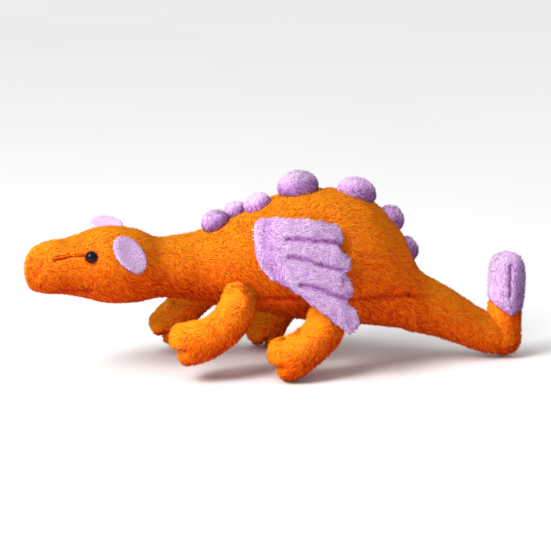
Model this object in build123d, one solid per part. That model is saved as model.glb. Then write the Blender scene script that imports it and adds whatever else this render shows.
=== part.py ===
from build123d import *

import os

# A stuffed toy dragon in short-pile plush, lying on its feet with its tail end curled up. It is sewn
# from panels over loose fibre filling: torso, neck, head, tail, upturned tail end, four bent legs,
# two quilted wings, two ears and seven padded bumps along the spine.
#
# Frame: +Z up, head towards -X, tail towards +X, the dragon's own left side towards -Y. The origin is
# on the surface it stands on, under the middle of the toy. Millimetres.
#
# Every hollow piece comes from one function of its inset: inset 0 is the outside of the plush,
# CLOTH is the inside of it, and PACKED is the outside of the filling.

CLOTH = 2.4              # thickness of the pile fabric, backing and pile together
FILL_GAP = 0.3           # between the fabric and the filling
PACKED = CLOTH + FILL_GAP
LEAST_RADIUS = 1.5       # of a filling's section where it narrows to a tip
REACH = 300              # a cutting block's size: anything larger than the toy
JOINT_GAP = 0.4          # between a ball end and the cup that it turns in

# Sections of the torso: station along X, height of the centre, half width, half height
TORSO = [
    (-57, 103.6, 37, 41), (-34, 107, 43.5, 49), (-10, 111, 49, 56.5), (15, 112, 53, 63.5),
    (43, 111.3, 55, 67), (70, 109, 55, 67.8), (95, 103.2, 52.5, 63.6), (115, 93.2, 46.5, 55.4),
    (130, 80.5, 38.5, 45.5), (136, 72, 35.5, 39.5), (141, 66, 32, 34.2), (147, 61.2, 28.5, 31),
]
FLANK_SEAM_Z = 76        # side panels above, belly panel below
RUMP_NOTCH = 11.5        # the lower rump stops this short of its last section, so the tail can swing

NECK_PIVOT = Vector(-75, 0, 100.5)
NECK_BALL = 35
NECK = [(0, 101, 33.5, 34.5), (24, 103.3, 31.5, 32), (46, 104.2, 29, 29)]
HEAD_REACH = 46          # from the neck's pivot forward to the head's pivot
HEAD_PIVOT = NECK_PIVOT + Vector(-HEAD_REACH, 0, 2.5)
HEAD_BALL = 30
HEAD_TURN = 9            # degrees that the neck and head look towards the toy's left at rest

# Sections of the head: distance ahead of the neck's pivot, centre height, half width, half height
HEAD = [
    (60, 106.2, 34.5, 34.8), (71, 108, 38.5, 37.4), (85, 109.4, 40.3, 38.8), (102, 110.4, 38.2, 37.8),
    (119, 110.3, 32.5, 33), (135.5, 110.2, 28.5, 29),
    (150, 110, 26.5, 27.2), (160.5, 109.4, 23.5, 24.6),
    (168.5, 108.6, 18.5, 20), (173.4, 108.2, 11.5, 13), (174.8, 108.2, 6, 7),
]
CHIN_SEAM_Z = 89
EYE_AT = (115.5, 29.2, 124.6)        # ahead of the neck's pivot, out to the side, height
EYE_FACING = (0.27, 0.86, 0.43)      # the same three directions
EYE_RADIUS, EYE_HEIGHT = 6, 4.6
EYE_SHANK, EYE_SHANK_LENGTH = 1.6, 9
EYE_WASHER, EYE_WASHER_THICKNESS, EYE_WASHER_DEPTH = 7, 1.4, 5

EAR_ROOT = (84, 33.5, 138.5)
EAR_LENGTH, EAR_WIDTH, EAR_THICKNESS, EAR_CLOTH = 45, 34, 8, 2
EAR_ROOT_SHARE = 0.16                # the part of the oval's length that the seam cuts off
EAR_LEFT, EAR_RIGHT = (-46, 22), (9, 0)      # degrees above level, and degrees it points back

TAIL_PIVOT = Vector(146, 0, 60)
TAIL_BALL = 28
TAIL = [
    (148, 59.6, 26.5, 27), (161, 55, 25.5, 28), (177, 47.5, 24, 26.6), (193, 38.6, 22, 24.4),
    (209, 29.6, 20, 22.2), (224, 24, 18.8, 20.4),
]
CURL_PIVOT = Vector(235.6, 0, 20.5)
CURL_BALL = 18.4
# Sections of the upturned end: height, X of the centre, radius
TAIL_END = [
    (20.5, 235.6, 17.4), (45, 236, 17.6), (75, 236.4, 17.6), (93, 236.4, 17), (102.5, 236.2, 14.4),
    (108.5, 236, 8),
]
TIP_SEAM_Z, TIP_SEAM_TILT = 50, 18   # where the tip's second colour starts, and how far it slants
STEM_ROOM = 0.7                      # between the upturned end and the tail beside it
TAIL_SHELF = 4                       # how far under the curl's pivot the tail is cut for it

# Centre line of each leg: X, distance out from the middle, height, half thickness, half width
# The right legs lie a little differently: the front one is straighter and the hind one steeper.
FRONT_HIP, FRONT_HIP_BALL = (-39, 50.5, 87), 20
FRONT_LEG = [
    (-38, 52, 84, 18.6, 17.5), (-43, 55, 71, 19.6, 18.5),
    (-50, 58, 58, 20.4, 19), (-60, 60, 47.5, 21, 19.5),
    (-74, 61, 41, 21.5, 20.5), (-89, 61.5, 38.5, 22, 21.5),
    (-102, 62, 37.6, 20.5, 20), (-109.5, 62, 37.3, 13, 13.5),
]
FRONT_LEG_RIGHT = [
    (-38, 52, 84, 18.6, 17.5), (-50, 56, 76, 18.6, 18.5),
    (-64, 59, 65.5, 18.6, 19), (-79.5, 61, 52.5, 18.8, 19.5),
    (-92, 62, 39.5, 19.2, 20.5), (-103, 62, 28.5, 18.5, 19.5),
    (-108.5, 62, 23, 12.5, 13.5),
]
HIND_HIP, HIND_HIP_BALL = (47, 54, 66), 21
HIND_LEG = [
    (46, 56, 63, 19.8, 18.5), (42, 60, 51, 20.4, 19.5),
    (32, 65, 38, 21.4, 20.5), (18, 69, 28.4, 22.4, 21.5),
    (5, 70, 22.4, 23.2, 22), (-5, 70.5, 20.8, 20.2, 20),
    (-12, 71, 20.6, 12.5, 13), (-14.5, 71, 20.6, 7, 8),
]
HIND_LEG_RIGHT = [
    (46, 56, 63, 19.8, 18.5), (34.5, 61, 58, 18.8, 19),
    (18, 66, 47, 18.8, 20), (6, 69, 32, 19.2, 21),
    (0.5, 70, 21, 19.8, 21), (-4, 70.5, 10.5, 18, 19.5),
    (-6.5, 71, 3, 12.5, 14),
]

# The wing is drawn flat in its own plane: back from the hinge line, and up along it
WING_HINGE = Vector(-32, -36.5, 135.5)
WING_AXIS = Vector(0, 0.456, 0.890)
WING_OUT = Vector(0, -0.890, 0.456)
WING_THICKNESS, WING_CLOTH, WING_BATTING_SHARE = 9, 2.2, 0.93
WING_LIFT = [          # back from the hinge, inner face above the plane at the top, and at the bottom
    (-4, 0.8, 1.5), (12, 6.4, 6), (38, 12.8, 7.5), (60, 16, 8), (112, 16.2, 8.5),
]
WING_TOP, WING_BEND, WING_BOTTOM = 40, -14, -118
WING_CORNER, WING_CORNER_TOP = (7, 21), (38, 21.5)
WING_FRONT_LOW, WING_HEEL = (3, -22), (14.5, -47)
WING_TIP = (91, -105)
WING_LOBES = [          # the rear edge: end of each finger, then the notch above it
    ((107, -92), (99, -71)), ((104.5, -56), (100, -43.5)),
    ((103, -29), (94.5, -14.5)), ((96, -1), (88, 12)),
]

# Spine bumps, head to tail: X, out of the middle, height, half length, radius, slope of the back
BUMPS = [
    (-60, -5, 148, 14.5, 12, -20), (-38.5, 8, 155.5, 11.5, 10, -24), (-17, -4, 163.5, 15, 12, -24),
    (22.5, 0, 180.5, 21, 15.5, -6), (80, -2, 173.5, 20.5, 15, 14), (115.5, 0, 145.5, 15, 12.4, 55),
    (132, 0, 114.5, 14, 11.5, 62),
]


def ellipse_across(x, z, half_width, half_height, inset=0):
    """One oval section that faces along X."""
    plane = Plane((x, 0, z), x_dir=(0, 1, 0), z_dir=(1, 0, 0))
    return plane * Ellipse(half_width - inset, half_height - inset)


def ball(centre, radius):
    """A sphere whose poles lie off the planes that cut it."""
    return Pos(*centre) * Rot(33, 47, 21) * Sphere(radius)


def block(low, high):
    return Pos(*low) * Box(*(Vector(*high) - Vector(*low)), align=(Align.MIN,) * 3)


def mirrored(shape):
    return mirror(shape, Plane.XZ)


def on_neck(shape):
    """Turns a piece of the neck or head to its rest direction."""
    about = Pos(*NECK_PIVOT)
    return about * Rot(0, 0, HEAD_TURN) * about.inverse() * shape


def ahead(reach, side, height):
    """A point of the head before it is turned: ahead of the neck's pivot, to the left, and up."""
    return Vector(NECK_PIVOT.X - reach, -side, height)


def trimmed(sections, inset):
    """The same sections with both end faces moved inwards by the inset."""
    first, *middle, last = sections
    step = inset if last[0] > first[0] else -inset
    return [(first[0] + step, *first[1:]), *middle, (last[0] - step, *last[1:])]


def barrel(inset=0):
    """The torso before its neighbours are cut out of it."""
    return loft([ellipse_across(x, z, w, h, inset) for x, z, w, h in trimmed(TORSO, inset)])


def torso(inset=0):
    body = barrel(inset) - ball(NECK_PIVOT, NECK_BALL + JOINT_GAP + inset)
    cup = TAIL_BALL + JOINT_GAP + inset
    body -= ball(TAIL_PIVOT, cup)
    body -= block((TORSO[-1][0] - RUMP_NOTCH - inset, -REACH, 0), (REACH, REACH, TAIL_PIVOT.Z + cup))
    for hip, radius in ((FRONT_HIP, FRONT_HIP_BALL), (HIND_HIP, HIND_HIP_BALL)):
        for side in (-1, 1):
            body -= ball((hip[0], side * hip[1], hip[2]), radius + JOINT_GAP + inset)
    return body


def neck(inset=0):
    tube = loft([ellipse_across(NECK_PIVOT.X - u, z, w, h, inset) for u, z, w, h in NECK])
    return on_neck(tube + ball(NECK_PIVOT, NECK_BALL - inset) + ball(HEAD_PIVOT, HEAD_BALL - inset))


def head(inset=0):
    sections = trimmed([(NECK_PIVOT.X - u, z, w, h) for u, z, w, h in HEAD], inset)
    body = loft([ellipse_across(*s, inset) for s in sections])
    return on_neck(body - ball(HEAD_PIVOT, HEAD_BALL + JOINT_GAP + inset))


def tail(inset=0):
    tube = loft([ellipse_across(*s, inset) for s in TAIL])
    tube += ball(TAIL_PIVOT, TAIL_BALL - inset)
    tube -= ball(CURL_PIVOT, CURL_BALL + JOINT_GAP + inset)
    stem = CURL_PIVOT.X - TAIL_END[0][2] - STEM_ROOM - inset
    return tube - block((stem, -REACH, CURL_PIVOT.Z - TAIL_SHELF), (REACH, REACH, REACH))


def tail_end(inset=0):
    (top, *tip), sections = TAIL_END[-1], TAIL_END[:-1]
    sections = [*sections, (top - inset, *tip)]
    stem = loft([Pos(x, 0, z) * Circle(max(r - inset, LEAST_RADIUS)) for z, x, r in sections])
    return stem + ball(CURL_PIVOT, CURL_BALL - inset)


def leg(hip, hip_ball, line, inset=0):
    """A left leg: round sections square to its centre line, a ball at the hip, a flat where it rests."""
    points = [Vector(x, -y, z) for x, y, z, _, _ in line]
    sections = []
    for i, (x, y, z, thick, wide) in enumerate(line):
        along = points[min(i + 1, len(line) - 1)] - points[max(i - 1, 0)]
        along = Vector(along.X, 0, along.Z).normalized()
        at = points[i] - along * inset if i == len(line) - 1 else points[i]
        plane = Plane(at, x_dir=(0, 1, 0), z_dir=along)
        sections.append(plane * Ellipse(wide - inset, thick - inset))
    limb = loft(sections) + ball((hip[0], -hip[1], hip[2]), hip_ball - inset)
    return limb - block((-REACH, -REACH, -REACH), (REACH, 0, inset))


def wing_plane():
    return Plane(WING_HINGE, x_dir=(1, 0, 0), z_dir=WING_OUT)


def wing_outline():
    """The flat shape: straight front, rounded heel, and four fingers along the rear edge."""
    edges = [
        Spline(WING_LOBES[-1][1], WING_CORNER_TOP, WING_CORNER, WING_FRONT_LOW, WING_HEEL),
        Line(WING_HEEL, WING_TIP),
    ]
    start = WING_TIP
    for end, notch in WING_LOBES:
        edges.append(ThreePointArc(start, end, notch))
        start = notch
    return make_face(edges)


def wing_band(near, far):
    """The curved layer over the flank between two heights above its inner face."""
    slices = []
    for back, top, bottom in WING_LIFT:
        inner = [(WING_TOP, top), (WING_BEND, top), (WING_BOTTOM, bottom)]
        corners = [(t, n + near) for t, n in inner] + [(t, n + far) for t, n in reversed(inner)]
        points = [wing_plane().from_local_coords((back, t, n)) for t, n in corners]
        slices.append(make_face(Polyline(*points, close=True)))
    return loft(slices, ruled=True)


def wing(near, far, share=1):
    """A left wing layer: the outline, shrunk about its middle, cut through the curved layer."""
    outline = wing_outline()
    middle = Pos(outline.center().X, outline.center().Y)
    outline = wing_plane() * middle * scale(middle.inverse() * outline, by=share)
    through = WING_LIFT[-1][1] + 2 * WING_THICKNESS
    prism = extrude(outline, amount=through) + extrude(outline, amount=-WING_THICKNESS)
    return wing_band(near, far) & prism


def ear(lift, sweep, inset=0):
    """A left ear: a padded oval cut off at its seam, with a rolled edge there that it folds about."""
    oval = scale(Sphere(1), by=(EAR_WIDTH / 2 - inset, EAR_LENGTH / 2 - inset, EAR_THICKNESS / 2 - inset))
    flat = Pos(0, -EAR_LENGTH * (0.5 - EAR_ROOT_SHARE), 0) * oval
    flat -= block((-EAR_WIDTH, -inset, -EAR_THICKNESS), (EAR_WIDTH, EAR_LENGTH, EAR_THICKNESS))
    return Pos(*ahead(*EAR_ROOT)) * Rot(0, 0, sweep) * Rot(-lift, 0, 0) * flat


def bump(x, y, z, half_length, radius, slope, inset=0):
    """A ball stretched along the spine."""
    egg = scale(Sphere(1), by=(half_length - inset, radius - inset, radius - inset))
    return Pos(x, y, z) * Rot(0, slope, 0) * egg


def eye_frame():
    reach, side, up = EYE_FACING
    return Plane(ahead(*EYE_AT), z_dir=(-reach, -side, up))


def eye():
    """A domed button whose edge sinks into the pile, with its shank behind."""
    curve = (EYE_RADIUS**2 + EYE_HEIGHT**2) / (2 * EYE_HEIGHT)
    dome = ball((0, 0, EYE_HEIGHT - curve), curve) - block((-REACH, -REACH, -REACH), (REACH, REACH, 0))
    shank = Pos(0, 0, -EYE_SHANK_LENGTH / 2) * Cylinder(EYE_SHANK, EYE_SHANK_LENGTH)
    return eye_frame() * (dome + shank)


def eye_washer():
    """The lock washer pushed onto the shank behind the fabric."""
    ring = Cylinder(EYE_WASHER, EYE_WASHER_THICKNESS) - Cylinder(EYE_SHANK, EYE_WASHER_THICKNESS)
    return eye_frame() * Pos(0, 0, -EYE_WASHER_DEPTH) * ring


def eye_pocket():
    """The room in the filling that the shank and washer take."""
    return eye_frame() * Pos(0, 0, -EYE_SHANK_LENGTH / 2) * Cylinder(EYE_WASHER + 1, EYE_SHANK_LENGTH + 1)


def keep(name, shape):
    export_step(shape, f"parts/{name}.step")


def keep_pair(name, left):
    """A left piece and its mirror image."""
    keep(f"{name}_left", left)
    keep(f"{name}_right", mirrored(left))


def build_torso():
    skin = torso() - torso(CLOTH)
    keep_pair("torso_panel", skin & block((-REACH, -REACH, FLANK_SEAM_Z), (REACH, 0, REACH)))
    keep("belly_panel", skin & block((-REACH, -REACH, 0), (REACH, REACH, FLANK_SEAM_Z)))
    keep("torso_filling", torso(PACKED))


def build_bumps():
    back = barrel()
    for number, place in enumerate(BUMPS, start=1):
        keep(f"spine_bump_{number}", bump(*place) - back - bump(*place, CLOTH))
        keep(f"spine_bump_filling_{number}", bump(*place, PACKED) - back)


def build_neck():
    keep("neck_skin", neck() - neck(CLOTH))
    keep("neck_filling", neck(PACKED))


def build_head():
    eyes = {"left": on_neck(eye()), "right": on_neck(mirrored(eye()))}
    washers = {"left": on_neck(eye_washer()), "right": on_neck(mirrored(eye_washer()))}
    pockets = on_neck(eye_pocket() + mirrored(eye_pocket()))
    skin = head() - head(CLOTH) - eyes["left"] - eyes["right"]
    upper_left = block((-REACH, -REACH, CHIN_SEAM_Z), (0, 0, REACH))
    keep("head_panel_left", skin & on_neck(upper_left))
    keep("head_panel_right", skin & on_neck(mirrored(upper_left)))
    keep("chin_panel", skin & on_neck(block((-REACH, -REACH, 0), (0, REACH, CHIN_SEAM_Z))))
    keep("head_filling", head(PACKED) - pockets)
    for side in ("left", "right"):
        keep(f"eye_{side}", eyes[side])
        keep(f"eye_washer_{side}", washers[side])


def build_ears():
    for side, lie in (("left", EAR_LEFT), ("right", EAR_RIGHT)):
        skin, padding = ear(*lie) - ear(*lie, EAR_CLOTH), ear(*lie, EAR_CLOTH + FILL_GAP)
        for name, piece in (("skin", skin), ("padding", padding)):
            keep(f"ear_{name}_{side}", on_neck(piece if side == "left" else mirrored(piece)))


def build_tail():
    keep("tail_skin", tail() - tail(CLOTH))
    keep("tail_filling", tail(PACKED))
    skin = tail_end() - tail_end(CLOTH)
    seam = Pos(TAIL_END[0][1], 0, TIP_SEAM_Z) * Rot(0, TIP_SEAM_TILT, 0)
    tip = seam * block((-REACH, -REACH, 0), (REACH, REACH, REACH))
    keep("tail_end_skin", skin - tip)
    keep("tail_tip_cap", skin & tip)
    keep("tail_end_filling", tail_end(PACKED))


def build_legs():
    for name, hip, ball, left, right in (
        ("front_leg", FRONT_HIP, FRONT_HIP_BALL, FRONT_LEG, FRONT_LEG_RIGHT),
        ("hind_leg", HIND_HIP, HIND_HIP_BALL, HIND_LEG, HIND_LEG_RIGHT),
    ):
        for side, line in (("left", left), ("right", right)):
            skin = leg(hip, ball, line) - leg(hip, ball, line, CLOTH)
            filling = leg(hip, ball, line, PACKED)
            keep(f"{name}_skin_{side}", skin if side == "left" else mirrored(skin))
            keep(f"{name}_filling_{side}", filling if side == "left" else mirrored(filling))


def build_wings():
    keep_pair("wing_lining", wing(0, WING_CLOTH))
    packed = WING_CLOTH + FILL_GAP
    keep_pair("wing_batting", wing(packed, WING_THICKNESS - packed, WING_BATTING_SHARE))
    keep_pair("wing_face", wing(WING_THICKNESS - WING_CLOTH, WING_THICKNESS))


os.makedirs("parts", exist_ok=True)
build_torso()
build_bumps()
build_neck()
build_head()
build_ears()
build_tail()
build_legs()
build_wings()
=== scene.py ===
from math import cos, pi, radians, sin

import bpy
import numpy as np
from mathutils import Matrix, Vector


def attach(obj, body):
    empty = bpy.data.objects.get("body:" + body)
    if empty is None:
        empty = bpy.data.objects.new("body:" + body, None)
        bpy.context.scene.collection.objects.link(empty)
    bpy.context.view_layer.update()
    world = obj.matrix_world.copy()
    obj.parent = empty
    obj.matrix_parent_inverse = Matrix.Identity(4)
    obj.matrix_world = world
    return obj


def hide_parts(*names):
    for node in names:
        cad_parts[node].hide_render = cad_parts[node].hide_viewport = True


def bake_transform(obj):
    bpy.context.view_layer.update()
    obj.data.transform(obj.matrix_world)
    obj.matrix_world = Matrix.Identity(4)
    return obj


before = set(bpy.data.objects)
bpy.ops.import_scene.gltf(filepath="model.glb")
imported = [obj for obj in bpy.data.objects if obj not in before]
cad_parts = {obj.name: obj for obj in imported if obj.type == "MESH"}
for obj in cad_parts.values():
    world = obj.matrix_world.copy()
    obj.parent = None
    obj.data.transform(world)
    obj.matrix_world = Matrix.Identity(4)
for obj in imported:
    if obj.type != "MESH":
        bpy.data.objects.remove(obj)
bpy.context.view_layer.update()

# --- The studio ---
# The toy stands on a pale seamless table, seen from its left side and a little above through a
# long lens. A softbox hangs up and to the left, under a broad skylight in a white room.
LOOK_AT = Vector((0.001, 0, 0.091))
LOOK_TURN, LOOK_DOWN, LOOK_FROM, LENS = radians(7), radians(12.5), 2.4, 156.8
LIT_AT = (0, 0, 0.08)
KEY_PLACE, KEY_SIZE, KEY_POWER, KEY_COLOUR = (-1.05, -0.8, 1.0), 0.6, 26, (1, 0.985, 0.96)
SKY_PLACE, SKY_STRENGTH, SKY_WIDTH = (-1.2, -0.6, 2.4), 1.5, radians(40)
ROOM_STRENGTH = 0.56
TABLE_HALF = 4


def stand(thing, place, at):
    """Puts a light or the camera at a place, facing a point."""
    bpy.context.scene.collection.objects.link(thing)
    thing.location = place
    thing.rotation_euler = (Vector(at) - Vector(place)).to_track_quat("-Z", "Y").to_euler()
    return thing


lens = bpy.data.cameras.new("camera")
lens.lens, lens.sensor_width = LENS, 36
away = Vector((-sin(LOOK_TURN) * cos(LOOK_DOWN), -cos(LOOK_TURN) * cos(LOOK_DOWN), sin(LOOK_DOWN)))
camera = stand(bpy.data.objects.new("camera", lens), LOOK_AT + away * LOOK_FROM, LOOK_AT)
bpy.context.scene.camera = camera

key = bpy.data.lights.new("key_softbox", "AREA")
key.size, key.energy, key.color = KEY_SIZE, KEY_POWER, KEY_COLOUR
stand(bpy.data.objects.new("key_softbox", key), KEY_PLACE, LIT_AT)
skylight = bpy.data.lights.new("skylight", "SUN")
skylight.energy, skylight.angle = SKY_STRENGTH, SKY_WIDTH
stand(bpy.data.objects.new("skylight", skylight), SKY_PLACE, LIT_AT)

room = bpy.data.worlds.new("white room")
bpy.context.scene.world = room
room.use_nodes = True
walls = room.node_tree.nodes["Background"]
walls.inputs["Color"].default_value = (1, 1, 1, 1)
walls.inputs["Strength"].default_value = ROOM_STRENGTH
bpy.context.scene.view_settings.view_transform = "Standard"


def mixed(name, low, high, size, roughness):
    """A finish whose colour drifts between two shades, in cloudy patches of a size in metres."""
    finish = bpy.data.materials.new(name)
    finish.use_nodes = True
    nodes, links = finish.node_tree.nodes, finish.node_tree.links
    shader = nodes["Principled BSDF"]
    where = nodes.new("ShaderNodeTexCoord")
    cloud = nodes.new("ShaderNodeTexNoise")
    cloud.inputs["Scale"].default_value = 1 / size
    cloud.inputs["Detail"].default_value = 3
    shades = nodes.new("ShaderNodeValToRGB")
    for stop, position, shade in zip(shades.color_ramp.elements, (0.35, 0.65), (low, high)):
        stop.position, stop.color = position, (*shade, 1)
    links.new(where.outputs["Object"], cloud.inputs["Vector"])
    links.new(cloud.outputs["Fac"], shades.inputs["Fac"])
    links.new(shades.outputs["Color"], shader.inputs["Base Color"])
    shader.inputs["Roughness"].default_value = roughness
    return finish


table = bpy.data.meshes.new("table")
corners = [(x * TABLE_HALF, y * TABLE_HALF, 0) for x, y in ((-1, -1), (1, -1), (1, 1), (-1, 1))]
table.from_pydata(corners, [], [(0, 1, 2, 3)])
table.materials.append(mixed("pale table", (0.86, 0.86, 0.86), (0.88, 0.88, 0.88), 0.5, 0.7))
floor = bpy.data.objects.new("table", table)
bpy.context.scene.collection.objects.link(floor)


# --- The torso ---
# The belly is a bag of orange plush, two side panels over a belly panel, sewn along the spine and
# low on each flank and packed with fibre. The knit backing is one piece here, and its short pile
# stands on it in three. The first numbers are for the whole body, nose to tail: station along X,
# centre height, half width and half height, of the backing, which lies inside the pile.
BODY = [
    (-249.6, 108.2, 1, 1.4), (-248.7, 108.2, 6.5, 7.5), (-247, 108.4, 11.5, 13),
    (-243.5, 108.8, 16.5, 17.9), (-235.5, 109.8, 21.6, 22.1), (-225, 110.4, 24.4, 24.5),
    (-210.5, 110.4, 26.4, 26), (-194, 110.4, 30.4, 30), (-177, 110.3, 36.2, 35),
    (-160, 109.4, 38.2, 36.4), (-146, 108.2, 36.2, 35.4), (-134.5, 106.8, 32.2, 33),
    (-121, 104.7, 27.8, 28.4), (-99, 103.5, 28.6, 29.5), (-75, 102.8, 31.6, 33.8),
    (-57, 104.5, 36, 39.6), (-34, 107, 41.3, 46.8), (-10, 111, 46.8, 54.3),
    (15, 112, 50.8, 61.3), (43, 111.3, 52.8, 64.8), (70, 109, 52.8, 65.6),
    (95, 102.8, 50.3, 61.8), (115, 92.3, 44.3, 54.1), (130, 79.6, 36.5, 44.3),
    (136, 71.1, 33.5, 38.5), (141, 65.1, 30, 33.5), (148, 59.8, 26.8, 30),
    (161, 54, 24, 27.3), (177, 46.6, 22, 25.4), (193, 38.2, 20, 22.9),
    (209, 29.6, 18, 20.5), (224, 24.2, 16.6, 18.4),
]
NECK_PIVOT, NECK_TURN, TURN_START, TURN_END = (-75, 0), radians(9), -50, -100
FLANK_SEAM = 76          # height of the seam along each flank
RING_GAP, AROUND = 2.6, 150
MM = 0.001
FAR = 99                 # farther from a seam than its stitches reach, in millimetres
ALONG_BODY = (0.85, 0, -0.5)


def between(table, at):
    """The numbers of a table at stations between its rows, on a smooth curve."""
    rows = np.array(table, float)
    keys, values = rows[:, 0], rows[:, 1:]
    slopes = np.gradient(values, keys, axis=0)
    at = np.clip(at, keys[0], keys[-1])
    i = np.clip(np.searchsorted(keys, at) - 1, 0, len(keys) - 2)
    gap = (keys[i + 1] - keys[i])[:, None]
    t = (at - keys[i])[:, None] / gap
    return ((2 * t**3 - 3 * t**2 + 1) * values[i] + (t**3 - 2 * t**2 + t) * gap * slopes[i]
            + (3 * t**2 - 2 * t**3) * values[i + 1] + (t**3 - t**2) * gap * slopes[i + 1])


def body_rings(start, end, gap=RING_GAP, around=AROUND):
    """Oval rings of the body between two stations, before the neck is turned."""
    x = np.linspace(start, end, max(2, round(abs(end - start) / gap) + 1))
    z, wide, high = between(BODY, x).T
    angle = np.linspace(0, 2 * pi, around, endpoint=False)
    return np.stack([
        np.repeat(x[:, None], around, 1),
        wide[:, None] * np.sin(angle),
        z[:, None] + high[:, None] * np.cos(angle),
    ], 2)


def neck_turned(points):
    """Turns the head to the toy's left. The turn grows from the chest and is full at mid neck."""
    part = np.clip((TURN_START - points[..., 0]) / (TURN_START - TURN_END), 0, 1)
    angle = NECK_TURN * part * part * (3 - 2 * part)
    x, y = points[..., 0] - NECK_PIVOT[0], points[..., 1] - NECK_PIVOT[1]
    return np.stack([
        NECK_PIVOT[0] + x * np.cos(angle) - y * np.sin(angle),
        NECK_PIVOT[1] + x * np.sin(angle) + y * np.cos(angle),
        points[..., 2],
    ], -1)


def made(name, mesh):
    piece = bpy.data.objects.new(name, mesh)
    bpy.context.scene.collection.objects.link(piece)
    return piece


def bag(name, rings, finish):
    """A closed bag of backing through rings in millimetres, with a centre point at each end."""
    count, around = rings.shape[:2]
    middles = (rings[0].mean(0)[None], rings[-1].mean(0)[None])
    corners = np.concatenate([rings.reshape(-1, 3), *middles]) * MM
    i, j = np.meshgrid(np.arange(count - 1), np.arange(around), indexing="ij")
    a, b = i * around + j, i * around + (j + 1) % around
    faces = np.stack([a, b, b + around, a + around], -1).reshape(-1, 4).tolist()
    last, first, end = (count - 1) * around, count * around, count * around + 1
    faces += [(first, (k + 1) % around, k) for k in range(around)]
    faces += [(end, last + k, last + (k + 1) % around) for k in range(around)]
    mesh = bpy.data.meshes.new(name)
    mesh.from_pydata(corners.tolist(), [], faces)
    mesh.calc_loop_triangles()
    ends = corners[np.array([t.vertices[:] for t in mesh.loop_triangles])]
    if np.einsum("ij,ij->i", ends[:, 0], np.cross(ends[:, 1], ends[:, 2])).sum() < 0:
        mesh.flip_normals()
    mesh.polygons.foreach_set("use_smooth", [len(face.vertices) == 4 for face in mesh.polygons])
    nap = mesh.attributes.new("nap", "FLOAT", "POINT").data
    nap.foreach_set("value", [1.0] * len(mesh.vertices))
    mesh.materials.append(finish)
    return made(name, mesh)


def read(items, what, width=3):
    values = np.empty(len(items) * width, np.float32)
    items.foreach_get(what, values)
    return values.reshape(-1, width) if width > 1 else values


def points_of(piece):
    """Where a piece's points are, in millimetres."""
    return read(piece.data.vertices, "co") / MM


def sink(piece, distance, depth, width, shorten_and_shade):
    """Draws a sewn line into a bag: points near the line go in, and the pile there is shorter and
    its tufts take darker shades, painted shade in the seam.
    """
    mesh = piece.data
    near = np.exp(-(distance / width) ** 2)[:, None]
    co = read(mesh.vertices, "co") - read(mesh.vertex_normals, "vector") * near * depth * MM
    mesh.vertices.foreach_set("co", co.ravel())
    nap = mesh.attributes["nap"].data
    nap.foreach_set("value", read(nap, "value", 1) * (1 - shorten_and_shade * near[:, 0]))
    mesh.update()


def from_line(points, line):
    """How far points are from a line of straight runs."""
    best = np.full(len(points), 1e9)
    for a, b in zip(np.array(line[:-1], float), np.array(line[1:], float)):
        along = np.clip((points - a) @ (b - a) / ((b - a) @ (b - a)), 0, 1)
        best = np.minimum(best, np.linalg.norm(points - a - along[:, None] * (b - a), axis=1))
    return best


def trim_rim(piece, station, reach=1.5, share=0.08):
    """Shorter pile by the rim of a tube that meets the next one at a station along X, with its
    tufts
    a little darker there: painted shade at the join.
    """
    near = np.exp(-((points_of(piece)[:, 0] - station) / reach) ** 2)
    nap = piece.data.attributes["nap"].data
    nap.foreach_set("value", read(nap, "value", 1) * (1 - share * near))


def faces_where(piece, test):
    """For each face, whether its middle passes a test of x, y and z in millimetres."""
    x, y, z = (read(piece.data.polygons, "center") / MM).T
    return test(x, y, z)


# plush that faces this way takes paler shades and plush that faces away deeper ones: painted light
# and shade from the lamps above and in front
PAINTED_LIGHT_FROM = (-0.55, 0.0, 1.05)
ROOT_DEPTH, CLEAR_OF_TABLE = 0.0005, 0.0003     # metres


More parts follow.
